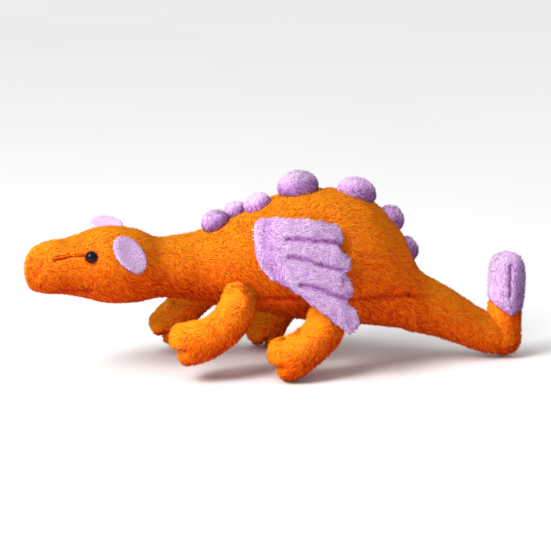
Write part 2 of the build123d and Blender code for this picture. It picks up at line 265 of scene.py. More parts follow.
def pile_tree():
    """Geometry nodes that plant tufts of pile on the faces marked furred, combed along the nap."""
    tree = bpy.data.node_groups.new("short cut pile", "GeometryNodeTree")
    add, link = tree.nodes.new, tree.links.new

    def node(kind, **values):
        made_node = add(kind)
        for key, value in values.items():
            setattr(made_node, key, value)
        return made_node

    sockets = {}
    for name, kind, value in (
        ("Backing", "Geometry", None), ("Tufts per m2", "Float", 8e5), ("Length", "Float", 0.005),
        ("Thickness", "Float", 0.0014), ("Lean", "Float", 1.0), ("Nap", "Vector", (1, 0, 0)),
        ("Swirl", "Float", 0.8), ("Swirl size", "Float", 0.02), ("Patch size", "Float", 0.004),
        ("Patchiness", "Float", 0.6), ("Bloom", "Float", 0.40), ("Seed", "Int", 1),
        ("Light", "Material", None), ("Middle", "Material", None), ("Deep", "Material", None),
        ("Shadow", "Material", None),
    ):
        socket = tree.interface.new_socket(name, in_out="INPUT", socket_type=f"NodeSocket{kind}")
        if value is not None:
            socket.default_value = value
        sockets[name] = socket.identifier
    tree.interface.new_socket("Pile", in_out="OUTPUT", socket_type="NodeSocketGeometry")
    given, result = add("NodeGroupInput"), add("NodeGroupOutput")

    def sums(operation, *values):
        """A math node on numbers or sockets."""
        calc = node("ShaderNodeMath", operation=operation)
        for slot, value in zip(calc.inputs, values):
            if isinstance(value, (int, float)):
                slot.default_value = value
            else:
                link(value, slot)
        return calc.outputs[0]

    def vectors(operation, *values, out="Vector"):
        calc = node("ShaderNodeVectorMath", operation=operation)
        for slot, value in zip((calc.inputs[0], calc.inputs[1]), values):
            if isinstance(value, tuple):
                slot.default_value = value
            else:
                link(value, slot)
        return calc.outputs[out]

    def scaled(vector, factor):
        calc = node("ShaderNodeVectorMath", operation="SCALE")
        link(vector, calc.inputs[0])
        if isinstance(factor, (int, float)):
            calc.inputs["Scale"].default_value = factor
        else:
            link(factor, calc.inputs["Scale"])
        return calc.outputs["Vector"]

    def chance(low, high, offset):
        pick = node("FunctionNodeRandomValue", data_type="FLOAT")
        seed = sums("ADD", given.outputs["Seed"], offset)
        pick.inputs[2].default_value, pick.inputs[3].default_value = low, high
        link(seed, pick.inputs["Seed"])
        return pick.outputs[1]

    def cloud(size, offset, out):
        noise = node("ShaderNodeTexNoise")
        noise.inputs["Detail"].default_value = 2
        link(vectors("ADD", position, (offset, offset, offset)), noise.inputs["Vector"])
        link(sums("DIVIDE", 1, size), noise.inputs["Scale"])
        return noise.outputs[out]

    furred = node("GeometryNodeInputNamedAttribute", data_type="BOOLEAN")
    furred.inputs["Name"].default_value = "furred"
    nap_length_and_shade = node("GeometryNodeInputNamedAttribute", data_type="FLOAT")
    nap_length_and_shade.inputs["Name"].default_value = "nap"
    position = add("GeometryNodeInputPosition").outputs[0]
    plant = node("GeometryNodeDistributePointsOnFaces", distribute_method="RANDOM")
    link(given.outputs["Backing"], plant.inputs["Mesh"])
    link(furred.outputs["Attribute"], plant.inputs["Selection"])
    link(given.outputs["Tufts per m2"], plant.inputs["Density"])
    link(given.outputs["Seed"], plant.inputs["Seed"])
    normal = plant.outputs["Normal"]

    # a tuft lies along the nap, with a swirl in it, flat on the surface and then raised by the lean
    swirl = vectors("SUBTRACT", cloud(given.outputs["Swirl size"], 3.7, "Color"), (0.5, 0.5, 0.5))
    strength = sums("MULTIPLY", given.outputs["Swirl"], 4)
    combed = vectors("ADD", given.outputs["Nap"], scaled(swirl, strength))
    rise = vectors("DOT_PRODUCT", combed, normal, out="Value")
    flat = vectors("NORMALIZE", vectors("SUBTRACT", combed, scaled(normal, rise)))
    lean = sums("ADD", given.outputs["Lean"], chance(-0.3, 0.22, 11))
    way = vectors("ADD", scaled(normal, sums("COSINE", lean)), scaled(flat, sums("SINE", lean)))
    aligned = node("FunctionNodeAlignRotationToVector", axis="Z")
    link(way, aligned.inputs["Vector"])
    spin = node("FunctionNodeEulerToRotation")
    spun = node("ShaderNodeCombineXYZ")
    link(chance(0, 2 * pi, 23), spun.inputs["Z"])
    link(spun.outputs[0], spin.inputs[0])
    turned = node("FunctionNodeRotateRotation", rotation_space="LOCAL")
    link(aligned.outputs[0], turned.inputs["Rotation"])
    link(spin.outputs[0], turned.inputs["Rotate By"])

    # the shade drifts in patches and from tuft to tuft, which is the pile's own tone; it is deeper
    # where the pile is short, painted shade in seams and creases; it is paler on plush that faces
    # up and forward and deeper on plush that faces down, painted light and shade; normals near the
    # backing's keep the light soft
    patch = sums("SUBTRACT", cloud(given.outputs["Patch size"], 9.1, "Fac"), 0.5)
    drift = sums("MULTIPLY", patch, given.outputs["Patchiness"])
    shade = sums("ADD", drift, chance(0.26, 0.74, 37))
    shade = sums("SUBTRACT", shade, sums("SUBTRACT", 1, nap_length_and_shade.outputs["Attribute"]))
    painted_light_facing = vectors("DOT_PRODUCT", normal, PAINTED_LIGHT_FROM, out="Value")
    shade = sums("ADD", shade, sums("MULTIPLY", painted_light_facing, given.outputs["Bloom"]))
    tilted = vectors("ADD", normal, scaled(way, 0.35))
    soft = vectors("NORMALIZE", vectors("ADD", tilted, scaled(swirl, 0.5)))
    geometry = plant.outputs["Points"]
    for name, kind, value in (("soft", "FLOAT_VECTOR", soft), ("shade", "FLOAT", shade)):
        store = node("GeometryNodeStoreNamedAttribute", data_type=kind, domain="POINT")
        store.inputs["Name"].default_value = name
        link(geometry, store.inputs["Geometry"])
        link(value, store.inputs["Value"])
        geometry = store.outputs["Geometry"]
    rooted = node("GeometryNodeSetPosition")
    link(geometry, rooted.inputs["Geometry"])
    link(scaled(normal, -ROOT_DEPTH), rooted.inputs["Offset"])

    tuft = node("GeometryNodeMeshCone")
    for name, value in (("Vertices", 3), ("Radius Top", 0), ("Radius Bottom", 0.5), ("Depth", 1)):
        tuft.inputs[name].default_value = value
    size = node("ShaderNodeCombineXYZ")
    girth = sums("MULTIPLY", given.outputs["Thickness"], chance(0.75, 1.25, 41))
    reach = sums("MULTIPLY", given.outputs["Length"], chance(0.7, 1.2, 43))
    reach = sums("MULTIPLY", reach, sums("ADD", 1, sums("MULTIPLY", patch, 0.8)))
    link(girth, size.inputs["X"])
    link(girth, size.inputs["Y"])
    link(sums("MULTIPLY", reach, nap_length_and_shade.outputs["Attribute"]), size.inputs["Z"])
    planted = node("GeometryNodeInstanceOnPoints")
    link(rooted.outputs["Geometry"], planted.inputs["Points"])
    link(tuft.outputs["Mesh"], planted.inputs["Instance"])
    link(turned.outputs[0], planted.inputs["Rotation"])
    link(size.outputs[0], planted.inputs["Scale"])
    real = node("GeometryNodeRealizeInstances")
    link(planted.outputs["Instances"], real.inputs["Geometry"])

    # nothing reaches under the table
    split, join = node("ShaderNodeSeparateXYZ"), node("ShaderNodeCombineXYZ")
    link(position, split.inputs[0])
    link(split.outputs["X"], join.inputs["X"])
    link(split.outputs["Y"], join.inputs["Y"])
    link(sums("MAXIMUM", split.outputs["Z"], CLEAR_OF_TABLE), join.inputs["Z"])
    lifted = node("GeometryNodeSetPosition")
    link(real.outputs["Geometry"], lifted.inputs["Geometry"])
    link(join.outputs[0], lifted.inputs["Position"])
    geometry = lifted.outputs["Geometry"]
    shaded = node("GeometryNodeInputNamedAttribute", data_type="FLOAT")
    shaded.inputs["Name"].default_value = "shade"
    for name, least in (("Shadow", None), ("Deep", 0.18), ("Middle", 0.4), ("Light", 0.64)):
        shade_class = node("GeometryNodeSetMaterial")
        link(geometry, shade_class.inputs["Geometry"])
        link(given.outputs[name], shade_class.inputs["Material"])
        if least is not None:
            link(sums("GREATER_THAN", shaded.outputs["Attribute"], least), shade_class.inputs["Selection"])
        geometry = shade_class.outputs["Geometry"]
    link(geometry, result.inputs["Pile"])
    return tree, sockets


PILE, PILE_SOCKETS = pile_tree()


def fibre_shade(name, colour, sheen=0.06, tint=(1, 0.35, 0.08)):
    """One shade of pile fibre, the same all over, with the soft bloom of plush at its edges."""
    fibre = bpy.data.materials.new(name)
    fibre.use_nodes = True
    shader = fibre.node_tree.nodes["Principled BSDF"]
    for socket, value in (
        ("Base Color", (*colour, 1)), ("Roughness", 0.9), ("Specular IOR Level", 0.06),
        ("Sheen Weight", sheen), ("Sheen Roughness", 0.45), ("Sheen Tint", (*tint, 1)),
    ):
        shader.inputs[socket].default_value = value
    return fibre


# four shades of one orange fibre, one to a tuft: which one a tuft takes is partly the pile's own
# tone, at random and in patches, and partly painted light and shade, paler where the plush faces up
# and forward, darker where it faces down and in seams and creases
ORANGE = {
    "Light": fibre_shade("orange pile palest tone and painted light", (1.0, 0.30, 0.010)),
    "Middle": fibre_shade("orange pile", (1.0, 0.185, 0.004)),
    "Deep": fibre_shade("orange pile shade", (0.86, 0.10, 0.0015)),
    "Shadow": fibre_shade("orange pile darkest tone and painted shade", (0.58, 0.032, 0.001)),
}
KNIT_PATCH, KNIT_ROUGHNESS = 0.006, 0.95
# the backing is a deeper orange than the pile: where it shows between tufts it stands for painted
# shade at the roots
orange_backing = mixed("orange knit backing", (0.5, 0.04, 0.002), (0.72, 0.08, 0.004),
                       KNIT_PATCH, KNIT_ROUGHNESS)


def applied(piece):
    """A new mesh of a piece with its modifiers applied, and the modifiers are gone."""
    depsgraph = bpy.context.evaluated_depsgraph_get()
    mesh = bpy.data.meshes.new_from_object(piece.evaluated_get(depsgraph))
    piece.modifiers.clear()
    return mesh


def pile(name, backing, furred, shades, nap, seed, slot, **values):
    """A pile piece grown on a bag of backing, where furred is true for a face."""
    holder = made(name, backing.data.copy())
    marks = np.zeros(len(holder.data.polygons), bool)
    marks[:] = furred
    holder.data.attributes.new("furred", "BOOLEAN", "FACE").data.foreach_set("value", marks)
    grow = holder.modifiers.new("pile", "NODES")
    grow.node_group = PILE
    for socket, value in {"Nap": nap, "Seed": seed, **shades, **values}.items():
        grow[PILE_SOCKETS[socket]] = value
    bpy.context.view_layer.update()
    grown = applied(holder)
    holder.data = grown
    normals = read(grown.attributes["soft"].data, "vector")
    normals /= np.maximum(np.linalg.norm(normals, axis=1), 1e-6)[:, None]
    grown.polygons.foreach_set("use_smooth", [True] * len(grown.polygons))
    grown.normals_split_custom_set_from_vertices(normals.tolist())
    for spent in ("soft", "shade"):
        grown.attributes.remove(grown.attributes[spent])
    return holder


def is_side(piece):
    """The faces of a bag that aren't its flat ends."""
    return np.array([len(face.vertices) == 4 for face in piece.data.polygons])


def stuffed(piece, fill, *nodes, slot="plush_orange"):
    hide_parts(*nodes)


CHEST_END, RUMP_END = -52, 130
torso = bag("torso_backing", body_rings(CHEST_END, RUMP_END), orange_backing)
x, y, z = points_of(torso).T
sink(torso, np.where(z < 120, np.abs(z - FLANK_SEAM), FAR), depth=2.2, width=2.6, shorten_and_shade=0.45)
sink(torso, np.where(z > 80, np.abs(y), FAR), depth=1.2, width=2.2, shorten_and_shade=0.3)
stuffed(torso, 0.9, "torso_panel_left", "torso_panel_right", "belly_panel", "torso_filling")
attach(torso, "torso")
trim_rim(torso, RUMP_END)
sides = is_side(torso)
for number, (panel, test) in enumerate({
    "left": lambda x, y, z: (z >= FLANK_SEAM) & (y < 0),
    "right": lambda x, y, z: (z >= FLANK_SEAM) & (y >= 0),
    "belly": lambda x, y, z: z < FLANK_SEAM,
}.items()):
    fur = pile(f"torso_pile_{panel}", torso, sides & faces_where(torso, test), ORANGE,
               ALONG_BODY, 100 + number, "plush_orange")
    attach(fur, "torso")


# --- The spine bumps ---
# Seven half balls of lavender plush, each gathered round a wad of fibre and sewn by its edge to the
# spine seam. They get larger to mid back, and lean a little to one side or the other.
BUMPS = [      # x, out of the middle, height, half length, radius, slope in degrees
    (-60, -5, 148, 13.2, 10.2, -20), (-38.5, 8, 155.2, 10.4, 8.6, -24),
    (-17, -4, 163.4, 13.6, 10.4, -24), (23.5, 0, 180.7, 19.8, 14, -6),
    (82, -2, 173.5, 19.2, 13.6, 16), (117, 0, 146, 13.6, 11.2, 55),
    (133.2, 0, 114.5, 12.6, 10, 62),
]
LAVENDER_TINT = (1, 0.85, 1)
# four shades of one lavender fibre, picked per tuft in the same way: partly the pile's own tone,
# partly painted light and shade
LAVENDER = {
    "Light": fibre_shade("lavender pile palest tone and painted light", (0.80, 0.56, 0.86), 0.2, LAVENDER_TINT),
    "Middle": fibre_shade("lavender pile", (0.64, 0.38, 0.72), 0.2, LAVENDER_TINT),
    "Deep": fibre_shade("lavender pile shade", (0.46, 0.22, 0.52), 0.1, LAVENDER_TINT),
    "Shadow": fibre_shade("lavender pile darkest tone and painted shade", (0.28, 0.09, 0.32), 0.1, LAVENDER_TINT),
}
# the backing is a deeper lavender than the pile: where it shows between tufts it stands for painted
# shade at the roots
lavender_backing = mixed("lavender knit backing", (0.40, 0.20, 0.46), (0.55, 0.31, 0.62),
                         KNIT_PATCH, KNIT_ROUGHNESS)


def placed(matrix, points):
    """Points in millimetres moved by a matrix."""
    m = np.array(matrix)
    return points @ m[:3, :3].T + m[:3, 3]


def egg_rings(half_length, half_width, half_height, rings=26, around=44, fullness=1.0):
    """Rings round the vertical of a stretched ball, poles left out."""
    down = np.linspace(0, pi, rings + 2)[1:-1]
    angle = np.linspace(0, 2 * pi, around, endpoint=False)
    out = np.sin(down) ** fullness
    return np.stack([
        half_length * out[:, None] * np.cos(angle), half_width * out[:, None] * np.sin(angle),
        np.repeat(half_height * np.cos(down)[:, None], around, 1),
    ], 2)


for number, (x, y, z, half_length, radius, slope) in enumerate(BUMPS, start=1):
    lie = Matrix.Translation((x, y, z)) @ Matrix.Rotation(radians(slope), 4, "Y")
    egg = placed(lie, egg_rings(half_length, radius, radius))
    ball = bag(f"spine_bump_backing_{number}", egg, lavender_backing)
    stitches = (placed(lie.inverted(), points_of(ball))[:, 2] - 1) / radius
    # round the base of each ball the pile is shorter and its tufts take darker shades: painted
    # shade where the ball sits on the back
    sink(ball, np.where(stitches > 0, stitches * 3, 0), depth=0, width=1.7, shorten_and_shade=0.4)
    stuffed(ball, 0.8, f"spine_bump_{number}", f"spine_bump_filling_{number}",
            slot="plush_lavender")
    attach(ball, "torso")
    fluff = pile(f"spine_bump_pile_{number}", ball, True, LAVENDER, (0.5, 0, 0.9), 200 + number,
                 "plush_lavender", Length=0.0045, Lean=0.75, Swirl=1.6)
    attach(fluff, "torso")


# --- The neck ---
# One tube of orange plush joins the shoulders to the back of the head. Both its ends are sewn all
# round. It is made in two parts: one between torso and neck, one between neck and head.
NECK_MIDDLE, HEAD_START = -99, -146


def at(x, height=0.1025):
    """A point on the turned middle line of the body, in metres."""
    spot = neck_turned(np.array([[x, 0.0, height / MM]]))[0] * MM
    return tuple(float(v) for v in spot)


for name, start, end, bodies in (
    ("neck_base", NECK_MIDDLE, CHEST_END, ("neck", "torso")),
    ("neck_top", HEAD_START, NECK_MIDDLE, ("head", "neck")),
):
    rings = neck_turned(body_rings(start, end, around=120))
    tube = bag(f"{name}_backing", rings, orange_backing)
    stuffed(tube, 0.85, "neck_skin", "neck_filling")
    fur = pile(f"{name}_pile", tube, is_side(tube), ORANGE, ALONG_BODY, 300 + len(name),
               "plush_orange")
    for piece in (tube, fur):
        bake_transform(piece)


# --- The head ---
# Two side panels and a chin panel of orange plush, with a dart from each eye towards the snout, a
# soft crease round the muzzle, and the chin seam for a mouth. The eyes pull it in a little.
HEAD_END = -249.6
CHIN_SEAM = 90
EYE, EYE_OUT = (-190.5, 29.2, 124.6), (-0.27, 0.86, 0.43)   # the right one; the left mirrors it
DART = [(-197, 126), (-210, 124.6), (-226, 121.4)]
MUZZLE_CREASE = [(-236.5, 121), (-240.5, 113), (-244, 104)]
MOUTH_MIDDLE, MOUTH_HALF = -206, 16
EYE_SEAT = 5.4           # no pile grows this close to the middle of an eye


def from_eye(points):
    """How far points of the straight head are from the nearer eye."""
    x, y, z = points.T
    return np.linalg.norm(np.stack([x - EYE[0], np.abs(y) - EYE[1], z - EYE[2]], 1), axis=1)


head = bag("head_backing", body_rings(HEAD_END, HEAD_START, 1.2, 180), orange_backing)
x, y, z = points_of(head).T
flat = np.stack([x, z], 1)
eye_distance = from_eye(points_of(head))
mouth = np.hypot(z - CHIN_SEAM, np.maximum(0, np.abs(x - MOUTH_MIDDLE) - MOUTH_HALF))
sink(head, np.where(np.abs(y) > 8, from_line(flat, DART), FAR), depth=2.4, width=1.5, shorten_and_shade=0.62)
sink(head, np.where(np.abs(y) > 6, from_line(flat, MUZZLE_CREASE), FAR),
     depth=1.6, width=2.8, shorten_and_shade=0.18)
sink(head, np.where(z < 100, mouth, FAR), depth=3.2, width=2.0, shorten_and_shade=0.75)
sink(head, eye_distance, depth=2.0, width=9, shorten_and_shade=0)
# round each eye the pile is shorter and its tufts take darker shades: painted shade in the hollow
# that the eye draws in
sink(head, eye_distance, depth=0, width=6.2, shorten_and_shade=0.6)
middle = read(head.data.polygons, "center") / MM
furred = (is_side(head) | (middle[:, 0] < -246)) & (from_eye(middle) > EYE_SEAT)
left_half = middle[:, 1] < 0
trim_rim(head, HEAD_START)
mesh = head.data
mesh.vertices.foreach_set("co", (neck_turned(points_of(head)) * MM).ravel())
mesh.update()
stuffed(head, 0.9, "head_panel_left", "head_panel_right", "chin_panel", "head_filling")
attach(head, "head")
for side, half in (("left", left_half), ("right", ~left_half)):
    fur = pile(f"head_pile_{side}", head, furred & half, ORANGE, (0.9, 0, -0.35),
               310 + len(side), "plush_orange", Length=0.0042, **{"Tufts per m2": 9.5e5})
    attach(fur, "head")


# --- The eyes ---
# Domed black safety eyes, 12 mm across, polished plastic with a thin rim. A ribbed shank goes
# through the plush and a washer locks it from behind, which draws the plush in round the eye.
EYE_PROFILE = [      # radius and height, from the top of the dome to the end of the shank
    (0.01, 4.6), (1.6, 4.42), (3.1, 3.85), (4.4, 2.95), (5.4, 1.7), (5.9, 0.6), (6.0, 0),
    (5.7, -0.5), (1.6, -0.6), (1.5, -6),
]
eye_plastic = bpy.data.materials.new("black eye plastic")
eye_plastic.use_nodes = True
nodes, links = eye_plastic.node_tree.nodes, eye_plastic.node_tree.links
shader = nodes["Principled BSDF"]
where, haze = nodes.new("ShaderNodeTexCoord"), nodes.new("ShaderNodeTexNoise")
smear = nodes.new("ShaderNodeMapRange")
haze.inputs["Scale"].default_value = 180
smear.inputs["To Min"].default_value, smear.inputs["To Max"].default_value = 0.05, 0.12
links.new(where.outputs["Object"], haze.inputs["Vector"])
links.new(haze.outputs["Fac"], smear.inputs["Value"])
links.new(smear.outputs["Result"], shader.inputs["Roughness"])
shader.inputs["Base Color"].default_value = (0.004, 0.004, 0.007, 1)
shader.inputs["Specular IOR Level"].default_value = 0.15
for side, mirror in (("left", -1), ("right", 1)):
    facing = Vector((EYE_OUT[0], mirror * EYE_OUT[1], EYE_OUT[2])).normalized()
    turn = facing.to_track_quat("Z", "Y").to_matrix().to_4x4()
    angle = np.linspace(0, 2 * pi, 48, endpoint=False)
    rings = np.array([[(r * cos(a), r * sin(a), h) for a in angle] for r, h in EYE_PROFILE])
    lie = Matrix.Translation((EYE[0], mirror * EYE[1], EYE[2])) @ turn
    eye = bag(f"eye_dome_{side}", neck_turned(placed(lie, rings)), eye_plastic)
    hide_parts(f"eye_{side}", f"eye_washer_{side}")
    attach(eye, "head")


# --- The ears ---
# Flat lavender ovals, plush on both faces with a thin wadding, turned out and sewn to the head
# by one end. The left one hangs down beside the cheek and the right one stands out almost level.
EAR_ROOT = (-159, 33.5, 138.5)
EAR_LENGTH, EAR_WIDTH, EAR_THICK, EAR_ROOT_SHARE, EAR_DISH = 42.5, 31.5, 5, 0.16, 2.2
EARS = (("left", -1, radians(-46), radians(22)), ("right", 1, radians(9), 0))  # lift and sweep back
for side, mirror, lift, sweep in EARS:
    oval = egg_rings(EAR_WIDTH / 2, EAR_LENGTH / 2, EAR_THICK / 2, 30, 64, 0.7)
    from_middle = np.hypot(oval[..., 0] / (EAR_WIDTH / 2), oval[..., 1] / (EAR_LENGTH / 2))
    oval[..., 2] -= EAR_DISH * (1 - np.clip(from_middle, 0, 1) ** 2) * (oval[..., 2] > 0)
    oval[..., 1] += EAR_LENGTH * (0.5 - EAR_ROOT_SHARE)
    turn = Matrix.Rotation(-sweep, 4, "Z") @ Matrix.Rotation(lift, 4, "X")
    lie = Matrix.Translation(EAR_ROOT) @ turn
    shape = placed(lie, oval)
    shape[..., 1] *= mirror
    ear = bag(f"ear_backing_{side}", neck_turned(shape), lavender_backing)
    stuffed(ear, 0.3, f"ear_skin_{side}", f"ear_padding_{side}", slot="plush_lavender")
    out = lie.to_3x3() @ Vector((0, 1, 0))
    # the facing counts more on the ears: more painted light where they face up and forward, so more
    # of their tufts take the paler shades
    fluff = pile(f"ear_pile_{side}", ear, True, LAVENDER, (out.x, mirror * out.y, out.z),
                 330 + len(side), "plush_lavender", Length=0.0034, Thickness=0.0011, Lean=1.1,
                 Swirl=0.5, Bloom=1.0, **{"Tufts per m2": 1.3e6})
    for piece in (ear, fluff):
        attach(piece, f"ear_{side}")


# --- The tail ---
# A tapering tube of orange plush sewn to the rump. Its end is a second tube that stands up from it:
# orange at the bottom, then a lavender cap that starts at a slanting seam.
TAIL_START, TAIL_STOP = 166, 224
CURL = (235.6, 20.5)     # where the upturned end bends: x and height
TAIL_END = [             # height, middle along X, radius
    (20.5, 235.2, 15.4), (42, 235.4, 15.4), (56, 236.2, 16.2), (75, 236.8, 16.9),
    (88, 236.8, 16.7), (97, 236.6, 15), (103, 236.4, 11.4), (106, 236.3, 6), (106.9, 236.2, 1),
]
TAIL_DOME, END_FLOOR, END_AROUND = 15, (15.6, 17), 90
TIP_SEAM, TIP_SLANT, TIP_SPREAD, TIP_MIDDLE = 47, 0.75, 20, 236
SIDE_STITCH, SIDE_MIDDLE, SIDE_HALF = 237.5, 80, 16
root = bag("tail_root_backing", body_rings(RUMP_END, TAIL_START, around=120), orange_backing)
x, y, z = points_of(root).T
sink(root, np.abs(z - FLANK_SEAM + 0.25 * (x - RUMP_END)) + 0.14 * (x - RUMP_END),
     depth=2.2, width=2.6, shorten_and_shade=0.45)
stuffed(root, 0.9, "tail_skin", "tail_filling")
trim_rim(root, TAIL_START)
fur = pile("tail_root_pile", root, is_side(root), ORANGE, ALONG_BODY, 401, "plush_orange")
for piece in (root, fur):
    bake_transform(piece)
rings = body_rings(TAIL_START, TAIL_STOP, around=100)
last = rings[-1]
centre = last.mean(0)
dome = np.stack([
    centre + (last - centre) * cos(s * pi / 2) + np.array([TAIL_DOME * sin(s * pi / 2), 0, -2 * s])
    for s in (0.2, 0.4, 0.6, 0.78, 0.92)
])
tail = bag("tail_backing", np.concatenate([rings, dome]), orange_backing)
stuffed(tail, 0.9, "tail_skin", "tail_filling")
fur = pile("tail_pile", tail, is_side(tail), ORANGE, ALONG_BODY, 402, "plush_orange")
for piece in (tail, fur):
    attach(piece, "tail")


def tip_drop(across):
    """How far the tip's seam dips: it climbs steeply to the front and gently behind."""
    return np.minimum(across, 3) - 0.4 * np.maximum(across - 3, 0)


def end_rings(start, end):
    """Rings of the upturned end, which slant near the seam of the tip."""
    height = np.linspace(start, end, round(abs(end - start) / 2.2) + 1)
    x, radius = between(TAIL_END, height).T
    angle = np.linspace(0, 2 * pi, END_AROUND, endpoint=False)
    slant = TIP_SLANT * np.clip(1 - np.abs(height - TIP_SEAM) / TIP_SPREAD, 0, 1)
    across = radius[:, None] * np.cos(angle)
    return np.stack([
        x[:, None] + across, radius[:, None] * np.sin(angle),
        height[:, None] - slant[:, None] * tip_drop(across),
    ], 2)


angle = np.linspace(0, 2 * pi, END_AROUND, endpoint=False)
floor_rings = np.stack([
    np.stack([
        CURL[0] + END_FLOOR[0] * cos(s) * np.cos(angle), END_FLOOR[0] * cos(s) * np.sin(angle),
        CURL[1] - END_FLOOR[1] * sin(s) + 0 * angle,
    ], 1)
    for s in (1.45, 1.25, 1.0, 0.75, 0.5, 0.25)
])
for name, rings, shades, backing, nodes_for, colour in (
    ("tail_end", np.concatenate([floor_rings, end_rings(CURL[1], TIP_SEAM)]), ORANGE,
     orange_backing, ("tail_end_skin", "tail_end_filling"), "plush_orange"),
    ("tail_tip", end_rings(TIP_SEAM, TAIL_END[-1][0]), LAVENDER,
     lavender_backing, ("tail_tip_cap",), "plush_lavender"),
):
    stem = bag(f"{name}_backing", rings, backing)
    x, y, z = points_of(stem).T
    seam = z - TIP_SEAM + TIP_SLANT * tip_drop(x - TIP_MIDDLE)
    sink(stem, seam, depth=0.9, width=2.2, shorten_and_shade=0.3)
    if name == "tail_tip":
        stitch = np.hypot(x - SIDE_STITCH, np.maximum(0, np.abs(z - SIDE_MIDDLE) - SIDE_HALF))
        sink(stem, np.where(y < 0, stitch, FAR), depth=2.0, width=2.0, shorten_and_shade=0.3)
    stuffed(stem, 0.85, *nodes_for, slot=colour)
    marks = is_side(stem) | faces_where(stem, lambda x, y, z: (z < 8) | (z > 100))
    fur = pile(f"{name}_pile", stem, marks, shades, (-0.2, 0, 1), 410 + len(name), colour,
               Lean=0.95)
    for piece in (stem, fur):
        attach(piece, "tail_end")


# --- The legs ---
# Four bent limbs of orange plush, firmly stuffed, sewn to the lower flanks round their tops. The
# paws point forward, each pulled in at the end by a stitch that makes two toes.
FRONT_LEG = [    # x, out from the middle, height, half thickness, half width
    (-38, 42, 82, 15, 15), (-41, 50, 75, 16.6, 16.2), (-45.5, 56, 66.5, 17.2, 16.9),
    (-52, 58.5, 58.5, 17.2, 17.3), (-61.5, 60, 50, 17.4, 17.6), (-74, 61, 43.2, 18.2, 18.6),
    (-88, 61.5, 39.4, 19.4, 19.4), (-98, 62, 38, 19.2, 18.6),
]
FRONT_LEG_RIGHT = [
    (-38, 42, 86, 15, 15), (-50, 53, 76.5, 16.4, 16.4), (-64, 59, 65.5, 16.6, 17),
    (-79.5, 61, 52.5, 16.8, 17.5), (-92, 62, 39.5, 17.4, 18.5), (-105.5, 62, 26, 17.2, 18.2),
]
HIND_LEG = [
    (48, 50, 66, 15.6, 16), (46, 55, 60, 17.4, 17), (42, 60, 50, 18.4, 17.6),
    (32, 65, 39, 17.8, 18.6), (19, 69, 30, 18.4, 19.4), (5, 70, 23.4, 20.4, 20),
    (-2, 70.5, 21.8, 20, 18.8),
]
HIND_LEG_RIGHT = [
    (47, 46, 64, 15.6, 16), (34.5, 59, 57.5, 16.6, 17), (18, 66, 47, 16.8, 18),
    (6, 69, 32, 17.4, 19), (0.5, 70, 21, 17.8, 18.8), (-3, 70.5, 13, 17, 18),
]
TOE_DOME, HIP_DOME, DOME_RINGS = 11, 12, 7
TOE_STEP, TOE_REACH, TOE_GROOVE = 4.5, 18, 9     # on the left, the lower toe stands back by a step
SOLE_HEIGHT = 1.2


def limb_rings(line, gap=2.4, around=84):
    """Rings square to a limb's centre line, seen from the side, then a round end."""
    rows = np.array(line, float)
    steps = np.hypot(*(rows[1:, (0, 2)] - rows[:-1, (0, 2)]).T)
    run = np.concatenate([[0], np.cumsum(steps)])
    along = np.linspace(0, run[-1], round(run[-1] / gap) + 1)
    centre = between(np.column_stack([run, rows]), along)
    way = np.gradient(centre[:, (0, 2)], along, axis=0)
    way /= np.linalg.norm(way, axis=1)[:, None]
    dome = np.sin(np.linspace(0, pi / 2, DOME_RINGS + 1)[1:]) * 0.995
    for s in dome:
        row = centre[len(along) - 1].copy()
        row[:3] += np.array([way[-1, 0], 0, way[-1, 1]]) * TOE_DOME * s
        row[3:] *= (1 - s * s) ** 0.5
        centre = np.vstack([centre, row])
    way = np.vstack([way, np.repeat(way[-1:], len(centre) - len(along), 0)])
    for s in dome:
        start = rows[0].copy()
        start[0] -= way[0, 0] * HIP_DOME * s
        start[1] -= HIP_DOME * s
        start[2] -= way[0, 1] * HIP_DOME * s
        start[3:] *= (1 - s * s) ** 0.5
        centre = np.vstack([start, centre])
        way = np.vstack([way[0], way])
    angle = np.linspace(0, 2 * pi, around, endpoint=False)
    thick, wide = centre[:, 3, None] * np.cos(angle), centre[:, 4, None] * np.sin(angle)
    return np.stack([
        centre[:, 0, None] - way[:, 1, None] * thick, centre[:, 1, None] + wide,
        centre[:, 2, None] + way[:, 0, None] * thick,
    ], 2)


for number, (name, side, mirror, line) in enumerate((
    ("front_leg", "left", -1, FRONT_LEG), ("front_leg", "right", 1, FRONT_LEG_RIGHT),
    ("hind_leg", "left", -1, HIND_LEG), ("hind_leg", "right", 1, HIND_LEG_RIGHT),
)):
    shape = limb_rings(line)

    # the two toes: the step first, then the groove between them
    ankle, last = np.array(line[-2][:3]), np.array(line[-1][:3])
    ahead = np.array([last[0] - ankle[0], 0, last[2] - ankle[2]])
    ahead /= np.linalg.norm(ahead)
    below = np.array([-ahead[2], 0, ahead[0]])
    toe = last + ahead * TOE_DOME
    behind, under = (toe - shape) @ ahead, (shape - toe) @ below
    if side == "left":
        fade = np.exp(-(np.maximum(behind, 0) / TOE_REACH) ** 2)
        shape -= (TOE_STEP * fade * np.clip(under / 6, 0, 1))[..., None] * ahead
    shape[..., 2] = np.maximum(shape[..., 2], SOLE_HEIGHT)
    shape[..., 1] *= mirror
    leg = bag(f"{name}_backing_{side}", shape, orange_backing)
    place = points_of(leg) * (1, mirror, 1)
    behind, across = (toe - place) @ ahead, (place - toe) @ below - 3
    sink(leg, np.hypot(across, np.maximum(0, behind - 7) * 0.6),
         depth=TOE_GROOVE, width=3.4, shorten_and_shade=0.5)
    stuffed(leg, 0.9, f"{name}_skin_{side}", f"{name}_filling_{side}")
    marks = is_side(leg) | faces_where(leg, lambda x, y, z: z < 60)
    fur = pile(f"{name}_pile_{side}", leg, marks, ORANGE, (-0.7, 0, -0.7), 500 + number,
               "plush_orange", Swirl=1.1)
    for piece in (leg, fur):
        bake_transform(piece)


